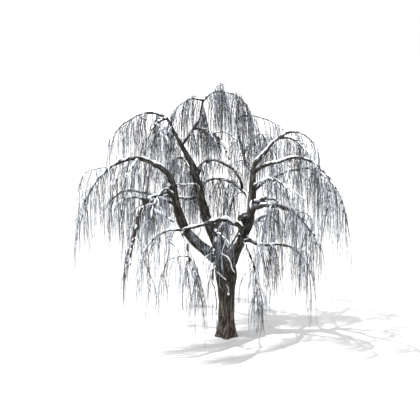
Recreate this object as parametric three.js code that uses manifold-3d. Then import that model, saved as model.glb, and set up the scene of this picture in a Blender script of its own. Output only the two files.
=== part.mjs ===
// A weeping willow in winter: a whole tree of separate solids. Boughs arch up from a short, thick
// trunk, and from each bough's tip hangs a curtain of bare whips. Snow lies along the boughs that
// carry the most of it.
// Millimetres, +Z up. The origin is the middle of the trunk's flat cut at ground level, and the
// side that the photograph shows faces -Y. Headings are degrees from +X, turning towards +Y.
import * as THREE from "three";
import { mergeVertices } from "three/addons/utils/BufferGeometryUtils.js";
import Module from "manifold-3d";

const wasm = await Module();
wasm.setup();

// Trunk
const forkHeight = 3900; // ground to the fork
const stubHeight = 5300; // the top of the stub that stands up between the limbs
const stubLean = 400; // how far the stub leans to the left
const waistRadius = 392; // the slimmest part, about 1.7 m up
const flareRadius = 150; // what the root flare adds at ground level
const flareFade = 420; // height over which the flare dies away
const forkSwell = { by: 145, from: 1700, to: 3300 }; // what the trunk gains below the fork
const stubTaper = { by: 0.6, from: 3250, to: 4500 }; // what it loses from there to the stub
const stubEnd = { by: 0.4, from: 5100, to: stubHeight }; // how the stub rounds off
const rootRidges = 5;
const ridgeDepth = 0.13; // of the radius, at ground level
const trunkLean = { x: 28, y: 10, rise: 850 }; // how far the trunk's middle sways, and over what height
const trunkSides = 18;
const groundBlock = 4000; // side of the block that cuts the trunk's foot flat

// Solids
const gap = 0.3; // between a limb and what carries it
const limbSides = 10;
const boughSides = 6;
const limbSteps = 7;
const twigSides = 3;
const twigSteps = 2;
const hang = 0.35; // how much less height counts than width when a curtain's space is measured

// Each bough leaves its carrier at a share of that one's length. Its heading and pitch turn from the
// first value to the last, later for a higher "bend", and its radius goes from foot to tip.
const boughsOn = {
  trunk: {
    left_limb: { at: 0.676, heading: 203, pitch: [36, 86], bend: 1.4, length: 5150, radius: [290, 160] },
    centre_limb: { at: 0.739, heading: [156, 160], pitch: [62, 76], length: 4650, radius: [310, 155] },
    right_limb: { at: 0.66, heading: [345, 357], pitch: [58, 92], length: 5150, radius: [340, 125] },
  },
  left_limb: {
    left_bough: { at: 0.97, heading: 206, pitch: [76, -6], length: 2750, radius: [150, 72] },
    low_left_bough: { at: 0.95, heading: 224, pitch: [4, -26], length: 1700, radius: [95, 66] },
    left_back_bough: { at: 0.8, heading: 152, pitch: [24, 0], length: 2400, radius: [84, 54] },
    front_left_high_bough: { at: 0.86, heading: 256, pitch: [44, 2], length: 2000, radius: [66, 44] },
  },
  centre_limb: {
    upper_left_bough: { at: 0.97, heading: 180, pitch: [66, 60], length: 2900, radius: [145, 66] },
    back_left_bough: { at: 0.72, heading: [124, 134], pitch: [-16, -2], length: 2300, radius: [92, 60] },
    back_bough: { at: 0.8, heading: 108, pitch: [42, 4], length: 2900, radius: [88, 52] },
  },
  right_limb: {
    front_bough: { at: 0.35, heading: [260, 218], pitch: [48, 4], length: 2650, radius: [118, 92] },
    front_right_bough: { at: 0.3, heading: 296, pitch: [-14, -64], length: 1900, radius: [56, 36] },
    front_right_high_bough: { at: 0.8, heading: [282, 296], pitch: [36, 0], length: 2500, radius: [66, 44] },
    upper_right_bough: { at: 0.97, heading: 334, pitch: [64, 38], length: 2050, radius: [118, 60] },
    right_bough: { at: 0.95, heading: [312, 320], pitch: [34, 4], length: 2950, radius: [98, 60] },
    mid_right_bough: { at: 0.6, heading: 318, pitch: [36, -12], length: 1900, radius: [160, 92] },
    low_right_bough: { at: 0.3, heading: [330, 338], pitch: [-6, 4], length: 2150, radius: [92, 58] },
    back_right_bough: { at: 0.76, heading: [40, 32], pitch: [34, 0], length: 2900, radius: [92, 54] },
    low_back_bough: { at: 0.36, heading: 58, pitch: [22, -2], length: 2500, radius: [86, 54] },
    behind_bough: { at: 0.66, heading: [108, 142], pitch: [36, -6], length: 3150, radius: [88, 54] },
    centre_back_bough: { at: 0.95, heading: [98, 118], pitch: [2, 84], length: 3700, radius: [66, 42] },
  },
  upper_left_bough: {
    top_bough: { at: 0.5, heading: 8, pitch: [48, 78], length: 2400, radius: [80, 46] },
  },
  top_bough: {
    inner_top_bough: { at: 0.42, heading: 345, pitch: [0, -30], length: 1050, radius: [44, 32] },
  },
  front_bough: {
    front_arm: { at: 0.97, heading: [218, 204], pitch: [0, -12], length: 2000, radius: [86, 56] },
  },
  behind_bough: {
    middle_bough: { at: 0.32, heading: 166, pitch: [88, -10], length: 2500, radius: [60, 44] },
  },
  centre_back_bough: {
    high_back_bough: { at: 0.45, heading: 62, pitch: [44, 6], length: 2100, radius: [46, 34] },
  },
};

// Each curtain's stem goes on from the tip of the bough of the same name, or of the one given, by the
// same rule. Its whips hang from it, about as long as "drop". The topmost one has a tuft.
const curtains = {
  left_curtain: { heading: [202, 206], pitch: [-12, -88], bend: 1.1, length: 3600, drop: 2300 },
  low_left_curtain: { heading: 236, pitch: [-42, -90], length: 3000, drop: 1900 },
  left_side_curtain: { from: "low_left_bough", heading: 187, pitch: [42, -72], length: 1700, drop: 2000 },
  left_back_curtain: { heading: 160, pitch: [4, -82], length: 2300, drop: 2200 },
  front_left_high_curtain: { heading: 246, pitch: [0, -86], length: 1900, drop: 1900 },
  upper_left_curtain: { heading: 180, pitch: [40, -68], bend: 0.8, length: 3100, drop: 2000 },
  upper_front_curtain: { from: "upper_left_bough", heading: 222, pitch: [0, -78], length: 1700, drop: 2000 },
  back_left_curtain: { heading: 138, pitch: [6, -80], length: 3000, drop: 2000 },
  back_curtain: { heading: 118, pitch: [2, -84], length: 2600, drop: 2400 },
  top_curtain: { heading: 6, pitch: [50, -78], length: 2700, drop: 1900, tuft: true },
  top_left_curtain: { from: "top_bough", heading: 170, pitch: [24, -88], length: 2000, drop: 1700 },
  inner_top_curtain: { heading: 342, pitch: [-38, -84], length: 1700, drop: 1400 },
  front_left_curtain: { from: "front_arm", heading: 204, pitch: [18, -94], length: 2700, drop: 1900 },
  front_drop_curtain: { from: "front_arm", heading: [318, 342], pitch: [-62, -80], length: 2600, drop: 1500 },
  front_centre_curtain: { from: "front_bough", heading: 246, pitch: [-66, -90], length: 2700, drop: 1400 },
  front_right_curtain: { heading: 296, pitch: [-76, -90], length: 2200, drop: 1300 },
  front_right_high_curtain: { heading: 306, pitch: [0, -86], length: 2200, drop: 1900 },
  upper_right_curtain: { heading: 334, pitch: [14, -88], length: 2000, drop: 1900 },
  high_right_curtain: { from: "upper_right_bough", heading: 20, pitch: [38, -86], length: 2500, drop: 1900 },
  right_curtain: { heading: [320, 346], pitch: [-14, -84], length: 3300, drop: 2100 },
  mid_right_curtain: { heading: 330, pitch: [-8, -76], length: 2500, drop: 2000 },
  low_right_curtain: { heading: 340, pitch: [-6, -80], length: 2000, drop: 1700 },
  back_right_curtain: { heading: 12, pitch: [14, -86], length: 3000, drop: 2300 },
  low_back_curtain: { heading: 52, pitch: [0, -86], length: 2000, drop: 1700 },
  behind_curtain: { heading: 146, pitch: [-12, -84], length: 1700, drop: 2000 },
  middle_curtain: { heading: 140, pitch: [-18, -84], length: 1300, drop: 1700 },
  centre_back_curtain: { heading: 2, pitch: [20, -58], length: 2900, drop: 1900 },
  high_back_curtain: { heading: 66, pitch: [2, -84], length: 2300, drop: 2200 },
};

const stemShare = 0.92; // a stem's radius as a share of its bough's tip
const stemTaper = 0.26; // a stem's end radius as a share of its start
const stemSides = 3;
const stemSteps = 5;
const spraysPerCurtain = 4;
const sprayLength = 820;
const sprayDroop = -62;
const whipsPerSpray = 2;
const whipsPerStem = 3;
const whipRule = { pitch: [-10, -96], bend: 0.3, gnarl: 3 }; // springs outwards, then hangs
const tuftRule = { at: 0.3, heading: 0, pitch: [150, -90], length: 700 }; // stands up, then arches over
const rootShare = 0.58; // a twig's radius as a share of its carrier's
const lowestWhip = 750; // no whip ends nearer the ground than this

// Snow lies on the upper side of these boughs, between two shares of their length.
const snowyBoughs = {
  left_bough: [0.4, 0.99],
  low_left_bough: [0.1, 0.97],
  front_bough: [0.25, 0.97],
  front_arm: [0.06, 0.97],
  upper_right_bough: [0.2, 0.97],
};
const snowWidth = 0.92; // of the bough's radius, each side of its middle
const snowDepth = 58; // above the bark, at the middle of a patch
const snowSeat = 0.72; // height of the ridge's middle, of the bough's radius
const snowEnd = 0.12; // how blunt the two ends are: 0 is a point
const snowSteps = 7;
const snowSides = 6;

// Every bough, stem and curtain draws its chance bends from a seed of its own.
const seeds = { bough: 101, stem: 907, twigs: 4001 };
const seedStep = 31;

const finishes = {
  bark: { color: 0x4a4238, roughness: 0.95 },
  twig: { color: 0x57524b, roughness: 0.85 },
  snow: { color: 0xf4f7fb, roughness: 0.6 },
};

const radians = THREE.MathUtils.degToRad;
const up = new THREE.Vector3(0, 0, 1);
const sideways = new THREE.Vector3(0, 1, 0);

// Random numbers between 0 and 1, the same from each seed.
function seeded(seed) {
  const modulus = 2147483647;
  let state = seed;
  return () => {
    state = (state * 16807) % modulus;
    return state / modulus;
  };
}

// The line of a limb or twig: it turns from its first pitch to its last, and wanders a little.
function grow(foot, rule, steps, random) {
  const { heading, pitch, bend = 1, length, gnarl = 7 } = rule;
  const [facing, lastFacing = facing] = [heading].flat();
  const phase = 360 * random();
  const points = [foot.clone()];
  for (let i = 0; i < steps; i++) {
    const t = (i + 0.5) / steps;
    const wander = gnarl * Math.sin(radians(phase + 620 * t));
    const nod = 0.7 * gnarl * Math.cos(radians(phase + 500 * t));
    const turn = radians(THREE.MathUtils.lerp(facing, lastFacing, t) + wander);
    const tilt = radians(THREE.MathUtils.lerp(pitch[0], pitch[1], t ** bend) + nod);
    const step = new THREE.Vector3(length / steps, 0, 0);
    step.applyAxisAngle(sideways, -tilt).applyAxisAngle(up, turn);
    points.push(points[i].clone().add(step));
  }
  return points;
}

// The point at a share of a line's length.
function pointAt(line, share) {
  const place = Math.min(share, 0.9999) * (line.length - 1);
  const i = Math.floor(place);
  return line[i].clone().lerp(line[i + 1], place - i);
}

const taper = (count, start, end) =>
  Array.from({ length: count }, (_, i) => THREE.MathUtils.lerp(start, end, i / (count - 1)));

// The direction of a line at each of its points.
const tangents = (line) =>
  line.map((_, i) => {
    const before = line[Math.max(i - 1, 0)];
    const after = line[Math.min(i + 1, line.length - 1)];
    return after.clone().sub(before).normalize();
  });

// A closed tube round a line: a cylinder whose rings are wrapped onto the line's points. A last
// radius of 0 gives it a pointed end. "section" turns an angle and a ring into a share of the radius.
function tube(line, radii, sides, section = () => 1) {
  const rings = line.length - 1;
  const pointed = radii[rings] === 0;
  const form = new THREE.CylinderGeometry(pointed ? 0 : 1, 1, 1, sides, rings);
  const place = form.attributes.position;
  const along = tangents(line);
  const across = [];
  for (const [i, tangent] of along.entries()) {
    const previous = across[i - 1] ?? new THREE.Vector3(tangent.y, -tangent.x, 0.01 - tangent.z);
    across.push(previous.clone().addScaledVector(tangent, -previous.dot(tangent)).normalize());
  }
  for (let v = 0; v < place.count; v++) {
    const i = Math.round((place.getY(v) + 0.5) * rings);
    const [x, z] = [place.getX(v), place.getZ(v)];
    const size = Math.min(Math.hypot(x, z), 1) * radii[i] * section(Math.atan2(z, x), i);
    const over = across[i].clone().cross(along[i]);
    const point = line[i].clone().addScaledVector(across[i], Math.cos(Math.atan2(z, x)) * size);
    place.setXYZ(v, ...point.addScaledVector(over, Math.sin(Math.atan2(z, x)) * size));
  }
  return solid(form);
}

// A three.js geometry as a solid that can be joined and cut, and back.
function solid(geometry) {
  geometry.deleteAttribute("normal");
  geometry.deleteAttribute("uv");
  const merged = mergeVertices(geometry, 1e-3);
  return new wasm.Manifold(
    new wasm.Mesh({
      numProp: 3,
      vertProperties: merged.attributes.position.array,
      triVerts: new Uint32Array(merged.index.array),
    }),
  );
}

function geometryOf(body) {
  const { vertProperties, triVerts } = body.getMesh();
  const geometry = new THREE.BufferGeometry();
  geometry.setAttribute("position", new THREE.BufferAttribute(new Float32Array(vertProperties), 3));
  geometry.setIndex(new THREE.BufferAttribute(new Uint32Array(triVerts), 1));
  geometry.computeVertexNormals();
  return geometry;
}

const mapValues = (table, change) =>
  Object.fromEntries(Object.entries(table).map(([name, value]) => [name, change(value, name)]));

const largest = (body) => body.decompose().sort((a, b) => b.volume() - a.volume())[0];

// What is left of a body beside its neighbours, as the one piece that holds most of it.
function cutClear(body, neighbours) {
  return largest(neighbours.reduce((rest, other) => rest.subtract(other), body));
}

// A limb's own tube made larger by the gap all round and at both ends, which cuts its neighbours.
function swollen(line, radii, sides, section) {
  const along = tangents(line);
  const longer = line.map((point, i) => {
    const end = (i === line.length - 1) - (i === 0);
    return point.clone().addScaledVector(along[i], end * gap);
  });
  return tube(longer, radii.map((radius) => radius + gap / Math.cos(Math.PI / sides)), sides, section);
}

// The trunk: a waist, a ridged root flare, a swelling under the fork and a stub above it.
// It starts below the ground and is cut flat there.
const bole = [-60, 90, 230, 450, 800, 1300, 1900, 2500, 3000, 3400, 3700];
const trunkHeights = [...bole, forkHeight, 4400, 5150, stubHeight];

const trunkLine = trunkHeights.map((z) => {
  const sway = Math.sin(z / trunkLean.rise);
  const lean = (stubLean * Math.max(z - forkHeight, 0)) / (stubHeight - forkHeight);
  return new THREE.Vector3(trunkLean.x * sway - lean, trunkLean.y * sway, z);
});

const eased = (z, { by, from, to }) => by * THREE.MathUtils.smoothstep(z, from, to);

function trunkRadius(z) {
  const flare = flareRadius * Math.exp(-z / flareFade);
  const widest = waistRadius + flare + eased(z, forkSwell);
  return widest * (1 - eased(z, stubTaper)) * (1 - eased(z, stubEnd));
}

function trunkSection(angle, ring) {
  const ridge = Math.cos(rootRidges * angle + 0.6) + 0.4 * Math.cos(2 * angle);
  return 1 + ridgeDepth * ridge * Math.exp(-trunkHeights[ring] / (2 * flareFade));
}

const lines = { trunk: trunkLine };
const radii = { trunk: trunkHeights.map(trunkRadius) };
const block = new THREE.BoxGeometry(groundBlock, groundBlock, groundBlock);
const ground = solid(block.translate(0, 0, -groundBlock / 2));
const solids = { trunk: tube(trunkLine, radii.trunk, trunkSides, trunkSection).subtract(ground) };
const grown = { trunk: swollen(trunkLine, radii.trunk, trunkSides, trunkSection) };
const touching = (body) => Object.values(grown).filter((other) => other.intersect(body).volume() > 0);

// A limb or bough, cut clear of what carries it and of those before it.
function addBough(name, bough, from, seed) {
  const sides = from === "trunk" ? limbSides : boughSides;
  lines[name] = grow(pointAt(lines[from], bough.at), bough, limbSteps, seeded(seed));
  radii[name] = taper(limbSteps + 1, ...bough.radius);
  const body = tube(lines[name], radii[name], sides);
  solids[name] = cutClear(body, touching(body));
  grown[name] = swollen(lines[name], radii[name], sides);
}

for (const [from, boughs] of Object.entries(boughsOn)) {
  for (const [name, bough] of Object.entries(boughs)) {
    addBough(name, bough, from, seeds.bough + seedStep * Object.keys(lines).length);
  }
}

// Snow: a flat tube half sunk in the bough's upper side, then cut clear of every limb.
function snowOn(name, [first, last]) {
  const shares = taper(snowSteps, first, last);
  const ridge = shares.map((share) => pointAt(lines[name], share));
  const along = tangents(ridge);
  const thickness = taper(snowSteps, snowEnd, 1 - snowEnd).map((t) => Math.sin(Math.PI * t));
  const form = new THREE.CylinderGeometry(1, 1, 1, snowSides, snowSteps - 1);
  const place = form.attributes.position;
  for (let v = 0; v < place.count; v++) {
    const i = Math.round((place.getY(v) + 0.5) * (snowSteps - 1));
    const limb = THREE.MathUtils.lerp(radii[name][0], radii[name].at(-1), shares[i]);
    const side = along[i].clone().cross(up).normalize();
    const over = side.clone().cross(along[i]);
    const point = ridge[i].clone().addScaledVector(over, snowSeat * limb);
    point.addScaledVector(side, place.getX(v) * snowWidth * limb * thickness[i]);
    point.addScaledVector(over, place.getZ(v) * ((1 - snowSeat) * limb + snowDepth * thickness[i]));
    place.setXYZ(v, ...point);
  }
  const body = solid(form);
  return cutClear(body, touching(body));
}

const snow = mapValues(snowyBoughs, (stretch, name) => snowOn(name, stretch));

// The stems come first, because each curtain's space is what lies nearest to its own stem.
for (const [i, [name, curtain]] of Object.entries(curtains).entries()) {
  const bough = curtain.from ?? name.replace("curtain", "bough");
  lines[name] = grow(lines[bough].at(-1), curtain, stemSteps, seeded(seeds.stem + seedStep * i));
  const start = stemShare * radii[bough].at(-1);
  radii[name] = taper(stemSteps + 1, start, stemTaper * start);
}
const stems = mapValues(curtains, (_, name) => swollen(lines[name], radii[name], stemSides));

// The distance from a point to a line, with height counting less than width.
function reachFrom(line, point) {
  const flat = (v) => new THREE.Vector3(v.x, v.y, v.z * hang);
  const target = flat(point);
  const distances = line.slice(1).map((end, i) => {
    const piece = new THREE.Line3(flat(line[i]), flat(end));
    return piece.closestPointToPoint(target, true, new THREE.Vector3()).distanceTo(target);
  });
  return Math.min(...distances);
}

const overlaps = (body, others) => others.some((other) => other.intersect(body).volume() > 0);

// Whether every point lies nearer to this curtain's stem than to any other's.
function owns(name, points) {
  const others = Object.keys(stems).filter((other) => other !== name);
  return points.every((point) => {
    const own = reachFrom(lines[name], point);
    return others.every((other) => reachFrom(lines[other], point) > own);
  });
}

// A twig as a tube, or nothing where it would leave the curtain's space, sweep the ground or touch
// a limb, another stem or another curtain.
function twig(name, line, sizes) {
  const free = line.slice(1);
  if (free.at(-1).z < lowestWhip || !owns(name, free)) return null;
  const otherStems = Object.keys(stems).filter((other) => other !== name).map((other) => stems[other]);
  const others = [...Object.values(solids), ...Object.values(snow), ...otherStems];
  if (overlaps(swollen(line, sizes, twigSides), others)) return null;
  return tube(line, sizes, twigSides);
}

// A twig's radii, from a share of its carrier's radius to a share of its own.
const thinning = (carrier, count, end) => taper(count, rootShare * carrier, end * rootShare * carrier);

function whip(name, foot, carrier, heading, random) {
  const length = curtains[name].drop * (0.7 + 0.6 * random());
  const line = grow(foot, { ...whipRule, heading, length }, twigSteps, random);
  return twig(name, line, thinning(carrier, twigSteps + 1, 0));
}

// A spray leaves the stem to one side and droops, with whips along its outer half.
function spray(name, foot, carrier, heading, random) {
  const pitch = [26 * random(), sprayDroop];
  const length = sprayLength * (0.8 + 0.5 * random());
  const line = grow(foot, { heading, pitch, length }, twigSteps, random);
  const body = twig(name, line, thinning(carrier, twigSteps + 1, 0.75));
  if (!body) return [];
  const whips = taper(whipsPerSpray, 0.5, 0.92).map((share) =>
    whip(name, pointAt(line, share), 0.8 * rootShare * carrier, heading + 80 * (random() - 0.5), random),
  );
  return [body, ...whips];
}

// A curtain: its stem, with sprays to both sides in turn and whips of its own, joined in one solid.
function curtainSolid(name, index) {
  const random = seeded(seeds.twigs + seedStep * index);
  const stem = lines[name];
  const heading = [curtains[name].heading].flat()[0];
  const thickness = (share) => THREE.MathUtils.lerp(radii[name][0], radii[name].at(-1), share);
  const sprays = taper(spraysPerCurtain, 0.16, 0.76).flatMap((share, i) => {
    const turn = (i % 2 ? 1 : -1) * (38 + 34 * random());
    return spray(name, pointAt(stem, share), thickness(share), heading + turn, random);
  });
  const whips = taper(whipsPerStem, 0.4, 0.88).map((share) =>
    whip(name, pointAt(stem, share), thickness(share), heading + 150 * (random() - 0.5), random),
  );
  const tuft = curtains[name].tuft && twig(
    name,
    grow(pointAt(stem, tuftRule.at), tuftRule, twigSteps, random),
    thinning(thickness(tuftRule.at), twigSteps + 1, 0.5),
  );
  const twigs = [tube(stem, radii[name], stemSides), ...sprays, ...whips, tuft].filter(Boolean);
  const body = twigs.reduce((all, next) => all.add(next));
  const stemsBefore = Object.values(stems).slice(0, index);
  return cutClear(body, [...touching(body), ...stemsBefore]);
}

for (const [index, name] of Object.keys(curtains).entries()) solids[name] = curtainSolid(name, index);

// Every solid is a named mesh in its own finish.
function node(name, body, { color, roughness }) {
  const finish = new THREE.MeshStandardMaterial({ color, roughness, metalness: 0 });
  const mesh = new THREE.Mesh(geometryOf(body), finish);
  mesh.name = name;
  return mesh;
}

const willow = new THREE.Group();
willow.name = "weeping_willow";
for (const [name, body] of Object.entries(solids)) {
  willow.add(node(name, body, name in curtains ? finishes.twig : finishes.bark));
}
for (const [name, body] of Object.entries(snow)) willow.add(node(name + "_snow", body, finishes.snow));

export default willow;
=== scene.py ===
import itertools
import math

import bpy
import numpy as np
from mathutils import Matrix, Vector
from mathutils.bvhtree import BVHTree


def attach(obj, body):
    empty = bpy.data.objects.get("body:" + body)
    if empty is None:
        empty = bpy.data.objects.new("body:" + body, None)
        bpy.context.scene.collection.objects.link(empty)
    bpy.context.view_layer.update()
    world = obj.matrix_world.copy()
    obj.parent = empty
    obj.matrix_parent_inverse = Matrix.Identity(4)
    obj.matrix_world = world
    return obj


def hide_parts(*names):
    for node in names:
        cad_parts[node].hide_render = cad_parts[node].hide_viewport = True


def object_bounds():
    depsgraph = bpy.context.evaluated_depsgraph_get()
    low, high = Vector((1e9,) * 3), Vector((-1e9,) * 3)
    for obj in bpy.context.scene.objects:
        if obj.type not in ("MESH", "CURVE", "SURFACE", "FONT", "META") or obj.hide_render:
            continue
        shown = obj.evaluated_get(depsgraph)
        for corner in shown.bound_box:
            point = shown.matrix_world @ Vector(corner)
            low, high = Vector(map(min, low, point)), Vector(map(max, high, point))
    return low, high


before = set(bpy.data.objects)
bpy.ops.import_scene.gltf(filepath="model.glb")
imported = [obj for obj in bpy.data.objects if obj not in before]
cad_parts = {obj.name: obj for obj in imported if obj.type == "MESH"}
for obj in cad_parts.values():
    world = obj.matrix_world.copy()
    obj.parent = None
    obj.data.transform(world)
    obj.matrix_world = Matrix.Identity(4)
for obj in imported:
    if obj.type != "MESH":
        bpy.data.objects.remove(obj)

cadLow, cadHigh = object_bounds()

# How the tree grows: the same trunk, limbs, boughs and stems as the solids
trunk = dict(fork=3.9, top=5.3, stubLean=0.4, waist=0.392, flare=0.15, flareFade=0.42, swell=0.145,
             swellAt=(1.7, 3.3), narrowing=(0.6, 3.25, 4.5), endNarrowing=(0.4, 5.1), ridges=5,
             ridgeDepth=0.13, ridgePhase=0.6, oval=0.4, ridgeTurn=-25.6, leanX=0.028, leanY=0.01, rise=0.85,
             rings=(-0.06, 0.09, 0.23, 0.45, 0.8, 1.3, 1.9, 2.5, 3.0, 3.4, 3.7), stubRings=(4.4, 5.15))

boughsOn = {
    "trunk": {
        "left_limb": dict(at=0.676, heading=203, pitch=(36, 86), bend=1.4, length=5.15, radius=(0.29, 0.16)),
        "centre_limb": dict(at=0.739, heading=(156, 160), pitch=(62, 76), length=4.65, radius=(0.31, 0.155)),
        "right_limb": dict(at=0.66, heading=(345, 357), pitch=(58, 92), length=5.15, radius=(0.34, 0.125)),
    },
    "left_limb": {
        "left_bough": dict(at=0.97, heading=206, pitch=(76, -6), length=2.75, radius=(0.15, 0.072)),
        "low_left_bough": dict(at=0.95, heading=224, pitch=(4, -26), length=1.7, radius=(0.095, 0.066)),
        "left_back_bough": dict(at=0.8, heading=152, pitch=(24, 0), length=2.4, radius=(0.084, 0.054)),
        "front_left_high_bough": dict(at=0.86, heading=256, pitch=(44, 2), length=2.0, radius=(0.066, 0.044)),
    },
    "centre_limb": {
        "upper_left_bough": dict(at=0.97, heading=180, pitch=(66, 60), length=2.9, radius=(0.145, 0.066)),
        "back_left_bough": dict(at=0.72, heading=(124, 134), pitch=(-16, -2), length=2.3,
                                radius=(0.092, 0.06)),
        "back_bough": dict(at=0.8, heading=108, pitch=(42, 4), length=2.9, radius=(0.088, 0.052)),
    },
    "right_limb": {
        "front_bough": dict(at=0.35, heading=(260, 218), pitch=(48, 4), length=2.65, radius=(0.118, 0.092)),
        "front_right_bough": dict(at=0.3, heading=296, pitch=(-14, -64), length=1.9, radius=(0.056, 0.036)),
        "front_right_high_bough": dict(at=0.8, heading=(282, 296), pitch=(36, 0), length=2.5,
                                       radius=(0.066, 0.044)),
        "upper_right_bough": dict(at=0.97, heading=334, pitch=(64, 38), length=2.05, radius=(0.118, 0.06)),
        "right_bough": dict(at=0.95, heading=(312, 320), pitch=(34, 4), length=2.95, radius=(0.098, 0.06)),
        "mid_right_bough": dict(at=0.6, heading=318, pitch=(36, -12), length=1.9, radius=(0.16, 0.092)),
        "low_right_bough": dict(at=0.3, heading=(330, 338), pitch=(-6, 4), length=2.15,
                                radius=(0.092, 0.058)),
        "back_right_bough": dict(at=0.76, heading=(40, 32), pitch=(34, 0), length=2.9, radius=(0.092, 0.054)),
        "low_back_bough": dict(at=0.36, heading=58, pitch=(22, -2), length=2.5, radius=(0.086, 0.054)),
        "behind_bough": dict(at=0.66, heading=(108, 142), pitch=(36, -6), length=3.15, radius=(0.088, 0.054)),
        "centre_back_bough": dict(at=0.95, heading=(98, 118), pitch=(2, 84), length=3.7,
                                  radius=(0.066, 0.042)),
    },
    "upper_left_bough": {
        "top_bough": dict(at=0.5, heading=8, pitch=(48, 78), length=2.4, radius=(0.08, 0.046)),
    },
    "top_bough": {
        "inner_top_bough": dict(at=0.42, heading=345, pitch=(0, -30), length=1.05, radius=(0.044, 0.032)),
    },
    "front_bough": {
        "front_arm": dict(at=0.97, heading=(218, 204), pitch=(0, -12), length=2.0, radius=(0.086, 0.056)),
    },
    "behind_bough": {
        "middle_bough": dict(at=0.32, heading=166, pitch=(88, -10), length=2.5, radius=(0.06, 0.044)),
    },
    "centre_back_bough": {
        "high_back_bough": dict(at=0.45, heading=62, pitch=(44, 6), length=2.1, radius=(0.046, 0.034)),
    },
}

# Each curtain's stem goes on from a bough's tip, and "drop" is about how long its whips are
curtains = {
    "left_curtain": dict(heading=(202, 206), pitch=(-12, -88), bend=1.1, length=3.6, drop=2.3),
    "low_left_curtain": dict(heading=236, pitch=(-42, -90), length=3.0, drop=1.9),
    "left_side_curtain": dict(bough="low_left_bough", heading=187, pitch=(42, -72), length=1.7, drop=2.0),
    "left_back_curtain": dict(heading=160, pitch=(4, -82), length=2.3, drop=2.2),
    "front_left_high_curtain": dict(heading=246, pitch=(0, -86), length=1.9, drop=1.9),
    "upper_left_curtain": dict(heading=180, pitch=(40, -68), bend=0.8, length=3.1, drop=2.0),
    "upper_front_curtain": dict(bough="upper_left_bough", heading=222, pitch=(0, -78), length=1.7, drop=2.0),
    "back_left_curtain": dict(heading=138, pitch=(6, -80), length=3.0, drop=2.0),
    "back_curtain": dict(heading=118, pitch=(2, -84), length=2.6, drop=2.4),
    "top_curtain": dict(heading=6, pitch=(50, -78), length=2.7, drop=1.9),
    "top_left_curtain": dict(bough="top_bough", heading=170, pitch=(24, -88), length=2.0, drop=1.7),
    "inner_top_curtain": dict(heading=342, pitch=(-38, -84), length=1.7, drop=1.4),
    "front_left_curtain": dict(bough="front_arm", heading=204, pitch=(18, -94), length=2.7, drop=1.9),
    "front_drop_curtain": dict(bough="front_arm", heading=(318, 342), pitch=(-62, -80), length=2.6, drop=1.5),
    "front_centre_curtain": dict(bough="front_bough", heading=246, pitch=(-66, -90), length=2.7, drop=1.4),
    "front_right_curtain": dict(heading=296, pitch=(-76, -90), length=2.2, drop=1.3),
    "front_right_high_curtain": dict(heading=306, pitch=(0, -86), length=2.2, drop=1.9),
    "upper_right_curtain": dict(heading=334, pitch=(14, -88), length=2.0, drop=1.9),
    "high_right_curtain": dict(bough="upper_right_bough", heading=20, pitch=(38, -86), length=2.5, drop=1.9),
    "right_curtain": dict(heading=(320, 346), pitch=(-14, -84), length=3.3, drop=2.1),
    "mid_right_curtain": dict(heading=330, pitch=(-8, -76), length=2.5, drop=2.0),
    "low_right_curtain": dict(heading=340, pitch=(-6, -80), length=2.0, drop=1.7),
    "back_right_curtain": dict(heading=12, pitch=(14, -86), length=3.0, drop=2.3),
    "low_back_curtain": dict(heading=52, pitch=(0, -86), length=2.0, drop=1.7),
    "behind_curtain": dict(heading=146, pitch=(-12, -84), length=1.7, drop=2.0),
    "middle_curtain": dict(heading=140, pitch=(-18, -84), length=1.3, drop=1.7),
    "centre_back_curtain": dict(heading=2, pitch=(20, -58), length=2.9, drop=1.9),
    "high_back_curtain": dict(heading=66, pitch=(2, -84), length=2.3, drop=2.2),
}

# How each curtain differs in its finer twigs: how full it is ("full") and its bough before it
# ("along"), how wide its branches spread ("wide"), how much longer than "drop" its whips hang
# ("hang"), the share of twigs that stays before a limb ("keep"), how deep the snow lies on its stem
# ("snow"), and how much thicker than the solids' its stem is ("stem")
manner = {
    "left_curtain": dict(full=0.46, along=4.2, wide=0.5, hang=1.2),
    "low_left_curtain": dict(full=0.4, wide=0.7, hang=1.25, snow=0.04, stem=1.9),
    "left_side_curtain": dict(full=0.27, wide=0.7, hang=1.15, snow=0.1),
    "left_back_curtain": dict(full=0.25, wide=0.8),
    "front_left_high_curtain": dict(full=0.4, wide=0.8),
    "upper_left_curtain": dict(full=0.65, wide=0.6, along=1.1, snow=0.05),
    "upper_front_curtain": dict(full=0.5, wide=0.8, hang=1.1),
    "back_left_curtain": dict(full=0.45),
    "back_curtain": dict(full=0.62),
    "top_curtain": dict(full=1.1, wide=0.8, hang=1.2),
    "top_left_curtain": dict(full=0.7, wide=0.8, along=1.6, hang=1.3),
    "inner_top_curtain": dict(full=0.85, along=1.5, hang=1.4, snow=0.05, stem=1.9),
    "front_left_curtain": dict(full=0.36, along=3.6, wide=0.9, hang=1.3, keep=0.5, snow=0.06),
    "front_drop_curtain": dict(full=0.7, wide=0.8, hang=1.4),
    "front_centre_curtain": dict(full=0.7, along=3, hang=0.85, keep=0.65),
    "front_right_curtain": dict(full=0.5, wide=0.5, hang=1.2),
    "front_right_high_curtain": dict(full=0.4, wide=0.8),
    "upper_right_curtain": dict(full=0.5, wide=0.8),
    "high_right_curtain": dict(full=0.4, wide=0.6),
    "right_curtain": dict(full=0.36, along=2.2, wide=0.6, hang=1.45),
    "mid_right_curtain": dict(full=0.5, along=1.4, hang=1.25, keep=0.35),
    "low_right_curtain": dict(full=0.42, along=1.6, hang=1.45),
    "back_right_curtain": dict(full=0.5, hang=1.25),
    "low_back_curtain": dict(full=0.35),
    "behind_curtain": dict(full=0.48, along=1.8, hang=1.2),
    "middle_curtain": dict(full=0.58),
    "centre_back_curtain": dict(full=0.4, wide=0.9),
    "high_back_curtain": dict(full=0.42),
}

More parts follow.
